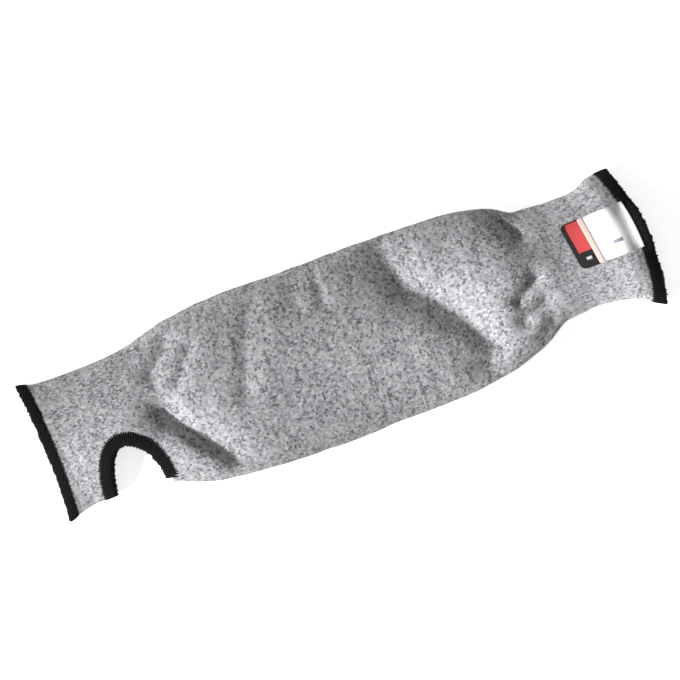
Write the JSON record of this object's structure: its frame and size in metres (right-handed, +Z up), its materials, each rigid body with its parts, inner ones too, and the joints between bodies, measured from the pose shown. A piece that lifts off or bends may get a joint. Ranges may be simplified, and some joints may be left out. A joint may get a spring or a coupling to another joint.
{
  "type": "protective arm sleeve",
  "caption": "Cut-resistant knitted arm sleeve with a thumb hole, black overlocked edges and a sewn-in label, lying softly puffed on a surface.",
  "frame": {"origin": "middle of the sleeve's footprint, on the surface that it lies on", "axes": "+X along the sleeve from the hand end to the upper-arm end, +Y across it away from the thumb hole, +Z up"},
  "size_m": [0.4054, 0.1152, 0.0296],
  "materials": {
    "marl_knit": "salt-and-pepper marl jersey knit, dry and matte",
    "overlock_thread": "dense black overlock stitching in textured thread",
    "label_cloth": "white woven label tape with a soft sheen",
    "label_ground": "black woven label tape with a red block"
  },
  "bodies": {
    "root": {"sleeve_knit": "marl_knit", "hand_edge_overlock": "overlock_thread", "arm_edge_overlock": "overlock_thread", "thumb_hole_overlock": "overlock_thread", "label_front": "label_cloth", "label_back": "label_ground"}
  },
  "joints": []
}
